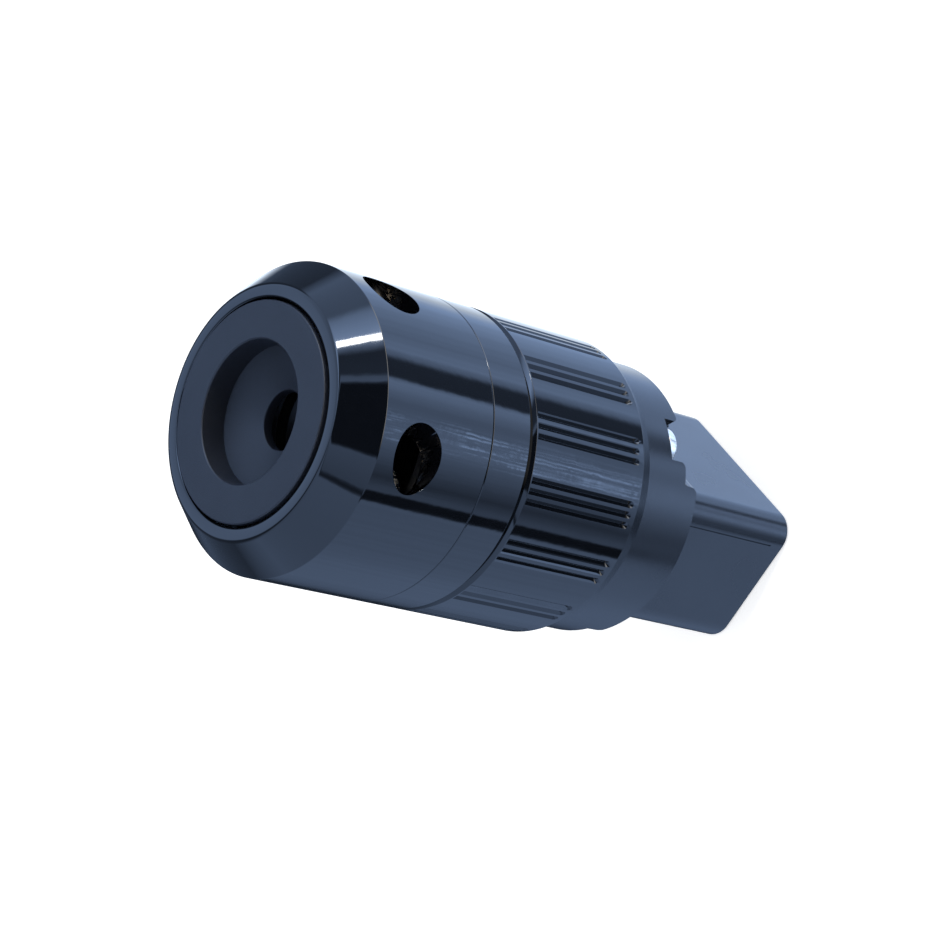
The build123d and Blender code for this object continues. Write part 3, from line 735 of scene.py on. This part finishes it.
def gloss_black():
    """Polished plastic with a faint unevenness from the mould."""
    material, tree, shader = new_material("gloss_black_shell")
    shader.inputs["IOR"].default_value = PLASTIC_IOR
    colour = blend_colours(tree, noise(tree, 900), (0.0012, 0.0014, 0.0022), (0.0022, 0.0026, 0.004))
    tree.links.new(colour, shader.inputs["Base Color"])
    tree.links.new(spread(tree, noise(tree, 260, 4), 0.035, 0.075), shader.inputs["Roughness"])
    tree.links.new(bump(tree, noise(tree, 380, 2), 0.000009), shader.inputs["Normal"])
    return material


def satin_black(name, dark, light, roughness, grain, depth):
    """A moulding surface: dark colour, broad sheen and a fine even grain."""
    material, tree, shader = new_material(name)
    shader.inputs["IOR"].default_value = PLASTIC_IOR
    fine = noise(tree, grain, 3)
    tree.links.new(blend_colours(tree, fine, dark, light), shader.inputs["Base Color"])
    worn = noise(tree, 120, 3)
    tree.links.new(spread(tree, worn, roughness - 0.03, roughness + 0.03), shader.inputs["Roughness"])
    tree.links.new(bump(tree, fine, depth), shader.inputs["Normal"])
    return material


def screw_metal(name, colour, roughness):
    """Plated metal with faint turning marks."""
    material, tree, shader = new_material(name)
    shader.inputs["Metallic"].default_value = 1.0
    marks = noise(tree, 2500, 2, (1, 1, 0.2))
    darker = tuple(0.7 * c for c in colour)
    tree.links.new(blend_colours(tree, marks, darker, colour), shader.inputs["Base Color"])
    tree.links.new(spread(tree, marks, roughness, roughness + 0.15), shader.inputs["Roughness"])
    tree.links.new(bump(tree, marks, 0.000006), shader.inputs["Normal"])
    return material


materials = {
    "gloss_shell": gloss_black(),
    "nose_moulding": satin_black("satin_black_nose", (0.002, 0.0024, 0.0036), (0.004, 0.0048, 0.007),
                                 roughness=0.25, grain=3500, depth=0.0000012),
    "inner_moulding": satin_black("satin_black_inner", (0.012, 0.013, 0.016), (0.018, 0.019, 0.023),
                                  roughness=0.4, grain=4000, depth=0.00001),
    "bush_plastic": satin_black("matt_black_bush", (0.005, 0.006, 0.009), (0.010, 0.012, 0.018),
                                roughness=0.5, grain=6000, depth=0.000015),
    "screw_steel": screw_metal("plated_screw", (0.95, 0.86, 0.74), 0.2),
    "contact_brass": screw_metal("contact_brass", (0.82, 0.62, 0.32), 0.3),
}

# %% [markdown]
# The record says which finish each node has. The new pieces take the finish of the node they stand for.

# %% Give every piece its material
slot_of = {part["node"]: part["material_slot"] for part in frame["record"]["subparts"]}
dressed = {"cap_shell": "gloss_shell", "plain_ring": "gloss_shell", "fluted_grip": "gloss_shell",
           "nose_moulding": "nose_moulding", "mouth_bush": "bush_plastic", "dished_disc": "bush_plastic"}


def dress(piece, material):
    piece.data.materials.clear()
    piece.data.materials.append(material)


for node, thing in frame["nodes"].items():
    dress(thing, materials[slot_of[node]])
for name, slot in dressed.items():
    dress(bpy.data.objects[name], materials[slot])
for piece in screws.values():
    dress(piece, materials["screw_steel"])

# %% [markdown]
# The floor is plain and white. It is a little brighter to the camera than the light makes it, so the picture
# stays white round the object and still keeps a soft shadow.

# %% Floor
FLOOR_SIZE = 6
FLOOR_BELOW = 0.0002
FLOOR_WHITE = 0.95
LIFT_TO_CAMERA = 0.5


def white_floor():
    deselect_all()
    bpy.ops.mesh.primitive_plane_add(size=FLOOR_SIZE, location=(0, 0, -FLOOR_BELOW))
    floor = bpy.context.object
    floor.name = "floor"
    material, tree, shader = new_material("white_floor")
    shader.inputs["Base Color"].default_value = (FLOOR_WHITE, FLOOR_WHITE, FLOOR_WHITE, 1)
    shader.inputs["Roughness"].default_value = 0.9
    shader.inputs["Specular IOR Level"].default_value = 0.0
    glow = tree.nodes.new("ShaderNodeEmission")
    path = tree.nodes.new("ShaderNodeLightPath")
    lift = tree.nodes.new("ShaderNodeMath")
    lift.operation = "MULTIPLY"
    lift.inputs[1].default_value = LIFT_TO_CAMERA
    both = tree.nodes.new("ShaderNodeAddShader")
    tree.links.new(path.outputs["Is Camera Ray"], lift.inputs[0])
    tree.links.new(lift.outputs["Value"], glow.inputs["Strength"])
    tree.links.new(shader.outputs["BSDF"], both.inputs[0])
    tree.links.new(glow.outputs["Emission"], both.inputs[1])
    tree.links.new(both.outputs["Shader"], tree.nodes["Material Output"].inputs["Surface"])
    dress(floor, material)
    floor.visible_glossy = False


white_floor()

# %% [markdown]
# A gloss black thing needs something to mirror, and plain white would probably turn it grey. So two kinds of
# ray see two worlds. Matt light is plain and even. Glossy rays, from satin faces too, see tones placed by
# compass direction, with one list for below the horizon and one for above, so they stay put in every view.
# These tones were not designed. A separate program read them off the shell in the photo and divided them by
# how much plastic reflects. They were then rounded, merged and adjusted by hand. So they suit this one
# picture, and make it look closer than the materials alone would. A plain white world is the more honest and
# more general choice: to have it, feed the plain background to both inputs of the mix for glossy rays.

# %% Surroundings
BLUE_TINT = (0.69, 1.0, 1.64)
PALE_TINT = (0.86, 1.0, 1.2)
PLAIN_LIGHT = (0.95, 0.97, 1.0, 1)
PLAIN_STRENGTH = 0.9
BRIGHTEST = 5.0
HORIZON_TONE = (0.8, 0.8, 0.8, 1.0)
HIGH_BEHIND_TONE = tuple(1.25 * part / BRIGHTEST for part in BLUE_TINT) + (1.0,)

# Every range that follows is where a tone starts to change and where the change ends
ABOVE_FROM = (-0.5, -0.35)
BENEATH = (-0.99, -0.8)
BENEATH_SHARE = 0.4
HIGH_FROM = (0.4, 0.5)
BEHIND_FROM = (radians(126), radians(140))
HORIZON_LOW = (-0.36, -0.28)
HORIZON_HIGH = (0.17, 0.22)
HORIZON_LEFT = (radians(22), radians(34))
HORIZON_RIGHT = (radians(116), radians(126))
CREASES_LEFT = (radians(28), radians(36))
CREASES_RIGHT = (radians(50), radians(56))

# From where to where in degrees, brightness at both ends, tint
TONES_BELOW = (
    (-180, -160, 1.5, 1.5, PALE_TINT),
    (-155, -130, 0.03, 0.03, BLUE_TINT),
    (-124, -91, 0.12, 0.55, BLUE_TINT),
    (-75, -15, 0.75, 1.15, BLUE_TINT),
    (-14, -6.5, 0.05, 0.05, BLUE_TINT),
    (-5.5, 5, 0.8, 0.35, BLUE_TINT),
    (12, 29, 0.6, 1.3, BLUE_TINT),
    (36, 60, 1.7, 1.25, BLUE_TINT),
    (71, 75.5, 2.1, 2.0, BLUE_TINT),
    (77.5, 91, 0.22, 0.22, BLUE_TINT),
    (94, 100, 1.1, 1.85, BLUE_TINT),
    (112, 158, 1.25, 1.15, BLUE_TINT),
    (173, 179, 1.4, 1.5, PALE_TINT),
)
TONES_ABOVE = (
    (-180, -104, 0.14, 0.18, BLUE_TINT),
    (-84, -12, 0.95, 1.25, BLUE_TINT),
    (-11, -7.5, 0.15, 0.15, BLUE_TINT),
    (-6, 17.5, 0.8, 1.1, BLUE_TINT),
    (18.5, 70, 0.06, 0.06, BLUE_TINT),
    (71.5, 75, 1.4, 1.2, BLUE_TINT),
    (76.5, 92, 0.36, 0.3, BLUE_TINT),
    (104, 119, 4.4, 2.6, BLUE_TINT),
    (124, 148, 1.1, 1.0, BLUE_TINT),
    (156, 179, 0.2, 0.14, BLUE_TINT),
)


def ramp(tree, value, tones):
    """A colour ramp with a stop at both ends of every tone."""
    node = tree.nodes.new("ShaderNodeValToRGB")
    stops = []
    for start, end, first, last, tint in tones:
        stops.append((start, first, tint))
        stops.append((end, last, tint))
    elements = node.color_ramp.elements
    while len(elements) < len(stops):
        elements.new(0.5)
    for element, (direction, brightness, tint) in zip(elements, stops):
        element.position = (direction + 180) / 360
        element.color = (*(brightness * part / BRIGHTEST for part in tint), 1)
    tree.links.new(value, node.inputs["Fac"])
    return node.outputs["Color"]


def math_node(tree, operation, first, second=0.0):
    node = tree.nodes.new("ShaderNodeMath")
    node.operation = operation
    for socket, value in zip(node.inputs, (first, second)):
        if isinstance(value, (int, float)):
            socket.default_value = value
        else:
            tree.links.new(value, socket)
    return node.outputs["Value"]


def between(tree, value, low, high, start, end):
    """Maps a range of values onto another, flat outside it."""
    node = tree.nodes.new("ShaderNodeMapRange")
    for name, setting in (("From Min", low), ("From Max", high), ("To Min", start), ("To Max", end)):
        node.inputs[name].default_value = setting
    tree.links.new(value, node.inputs["Value"])
    return node.outputs["Result"]


def streaks(tree, azimuth, height, fineness):
    """Noise over the directions, finer along the compass than up and down if wanted."""
    place = tree.nodes.new("ShaderNodeCombineXYZ")
    tree.links.new(math_node(tree, "MULTIPLY", azimuth, fineness[0]), place.inputs["X"])
    tree.links.new(math_node(tree, "MULTIPLY", height, fineness[1]), place.inputs["Y"])
    texture = tree.nodes.new("ShaderNodeTexNoise")
    texture.inputs["Scale"].default_value = 1.0
    texture.inputs["Detail"].default_value = 1.5
    tree.links.new(place.outputs["Vector"], texture.inputs["Vector"])
    return texture.outputs["Fac"]


def unevenness(tree, azimuth, height):
    """How the tones below vary: brushed along the view, creased in one stretch, dim beneath."""
    brushed = between(tree, streaks(tree, azimuth, height, (34, 2)), 0.3, 0.7, 0.96, 1.05)
    creases = between(tree, streaks(tree, azimuth, height, (34, 62)), 0.52, 0.7, 0, 2.2)
    left = between(tree, azimuth, *CREASES_LEFT, 0, 1)
    right = between(tree, azimuth, *CREASES_RIGHT, 1, 0)
    creased = math_node(tree, "MULTIPLY", creases, math_node(tree, "MULTIPLY", left, right))
    beneath = between(tree, height, *BENEATH, BENEATH_SHARE, 1)
    return math_node(tree, "MULTIPLY", math_node(tree, "ADD", brushed, creased), beneath)


def high_behind(tree, azimuth, height):
    """1 high up at the back, 0 elsewhere."""
    high_up = between(tree, height, *HIGH_FROM, 0, 1)
    behind = between(tree, math_node(tree, "ABSOLUTE", azimuth), *BEHIND_FROM, 0, 1)
    return math_node(tree, "MULTIPLY", high_up, behind)


def horizon_strip(tree, azimuth, height):
    """1 in a low strip along the horizon on one side, 0 elsewhere."""
    low = between(tree, height, *HORIZON_LOW, 0, 1)
    high = between(tree, height, *HORIZON_HIGH, 1, 0)
    left = between(tree, azimuth, *HORIZON_LEFT, 0, 1)
    right = between(tree, azimuth, *HORIZON_RIGHT, 1, 0)
    across = math_node(tree, "MULTIPLY", left, right)
    return math_node(tree, "MULTIPLY", math_node(tree, "MULTIPLY", low, high), across)


def mixed(tree, factor, first, second, blend="MIX"):
    node = tree.nodes.new("ShaderNodeMix")
    node.data_type = "RGBA"
    node.blend_type = blend
    for value, socket in ((factor, "Factor"), (first, "A"), (second, "B")):
        if isinstance(value, (float, tuple)):
            node.inputs[socket].default_value = value
        else:
            tree.links.new(value, node.inputs[socket])
    return node.outputs["Result"]


def surroundings():
    world = bpy.data.worlds.new("studio")
    bpy.context.scene.world = world
    world.use_nodes = True
    world.cycles.sampling_method = "NONE"
    tree = world.node_tree
    tree.nodes.clear()
    place = tree.nodes.new("ShaderNodeTexCoord")
    parts = tree.nodes.new("ShaderNodeSeparateXYZ")
    tree.links.new(place.outputs["Generated"], parts.inputs["Vector"])
    azimuth = math_node(tree, "ARCTAN2", parts.outputs["Y"], parts.outputs["X"])
    turn = math_node(tree, "ADD", math_node(tree, "DIVIDE", azimuth, 2 * pi), 0.5)
    height = parts.outputs["Z"]
    below = mixed(tree, 1.0, ramp(tree, turn, TONES_BELOW), unevenness(tree, azimuth, height), "MULTIPLY")
    above = between(tree, height, *ABOVE_FROM, 0, 1)
    both = mixed(tree, above, below, ramp(tree, turn, TONES_ABOVE))
    with_back = mixed(tree, high_behind(tree, azimuth, height), both, HIGH_BEHIND_TONE)
    seen_in_gloss = mixed(tree, horizon_strip(tree, azimuth, height), with_back, HORIZON_TONE)

    path = tree.nodes.new("ShaderNodeLightPath")
    plain = tree.nodes.new("ShaderNodeBackground")
    plain.inputs["Color"].default_value = PLAIN_LIGHT
    plain.inputs["Strength"].default_value = PLAIN_STRENGTH
    mirrored = tree.nodes.new("ShaderNodeBackground")
    tree.links.new(seen_in_gloss, mirrored.inputs["Color"])
    mirrored.inputs["Strength"].default_value = BRIGHTEST
    white = tree.nodes.new("ShaderNodeBackground")
    white.inputs["Color"].default_value = (1, 1, 1, 1)
    for_gloss = tree.nodes.new("ShaderNodeMixShader")
    for_camera = tree.nodes.new("ShaderNodeMixShader")
    output = tree.nodes.new("ShaderNodeOutputWorld")
    tree.links.new(path.outputs["Is Glossy Ray"], for_gloss.inputs["Fac"])
    tree.links.new(plain.outputs["Background"], for_gloss.inputs[1])
    tree.links.new(mirrored.outputs["Background"], for_gloss.inputs[2])
    tree.links.new(path.outputs["Is Camera Ray"], for_camera.inputs["Fac"])
    tree.links.new(for_gloss.outputs["Shader"], for_camera.inputs[1])
    tree.links.new(white.outputs["Background"], for_camera.inputs[2])
    tree.links.new(for_camera.outputs["Shader"], output.inputs["Surface"])


surroundings()

# %% [markdown]
# One soft lamp gives the sharp white flash on the cap's bevel. Its compass direction and height are where
# that flash says it must be, and its size sets the flash's width.

# %% Key lamp
LAMP_AZIMUTH = radians(100.5)
LAMP_ELEVATION = radians(25)
LAMP_DISTANCE = 0.7
LAMP_SIZE = (0.05, 0.16)
LAMP_WATTS = 0.9


def key_lamp():
    aim = Vector((0, 0, CAP_BACK_Z))
    flat = cos(LAMP_ELEVATION)
    way = Vector((flat * cos(LAMP_AZIMUTH), flat * sin(LAMP_AZIMUTH), sin(LAMP_ELEVATION)))
    data = bpy.data.lights.new("key_lamp", "AREA")
    data.shape = "RECTANGLE"
    data.size, data.size_y = LAMP_SIZE
    data.energy = LAMP_WATTS
    lamp = bpy.data.objects.new("key_lamp", data)
    lamp.location = aim + way * LAMP_DISTANCE
    lamp.rotation_euler = way.to_track_quat("Z", "Y").to_euler()
    bpy.context.collection.objects.link(lamp)


key_lamp()

# %% [markdown]
# The camera stands about 38 cm from the cable end, above it and to one side, and is rolled so that the body
# lies across the picture. Place, target, roll and lens were fitted to the photo's ellipses and edges.

# %% Camera
CAMERA_PLACE = Vector((0.26846, 0.13790, 0.31658))
CAMERA_TARGET = Vector((0.00485, 0.00152, 0.04842))
CAMERA_ROLL = radians(-76.07)
CAMERA_LENS = 117.94


def photo_camera():
    data = bpy.data.cameras.new("photo_camera")
    data.lens = CAMERA_LENS
    data.sensor_width = 36
    data.clip_start = 0.01
    camera = bpy.data.objects.new("photo_camera", data)
    aim = (CAMERA_TARGET - CAMERA_PLACE).to_track_quat("-Z", "Y").to_matrix().to_4x4()
    camera.matrix_world = Matrix.Translation(CAMERA_PLACE) @ aim @ Matrix.Rotation(CAMERA_ROLL, 4, "Z")
    bpy.context.collection.objects.link(camera)
    bpy.context.scene.camera = camera


photo_camera()
bpy.context.scene.view_settings.view_transform = "Standard"
